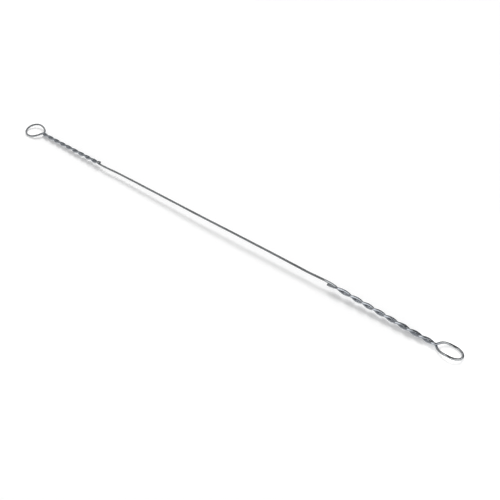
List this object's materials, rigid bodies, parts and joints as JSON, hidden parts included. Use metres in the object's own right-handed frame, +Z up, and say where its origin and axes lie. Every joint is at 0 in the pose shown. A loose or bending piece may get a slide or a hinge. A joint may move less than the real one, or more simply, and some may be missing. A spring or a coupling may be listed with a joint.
{
  "type": "hammer wire",
  "caption": "Straight spring-steel wire for a throwing hammer, with a slim and a round closed loop at its ends, each loop held by a long hand-wound twist.",
  "frame": {"origin": "on the ground that the wire lies on, under the middle of its outline", "axes": "+X along the wire from the round loop to the slim loop, +Z up from the ground"},
  "size_m": [0.9926, 0.0394, 0.0145],
  "materials": {
    "wire": "bright drawn"
  },
  "bodies": {
    "root": {"hammer_wire": "wire"}
  },
  "joints": []
}
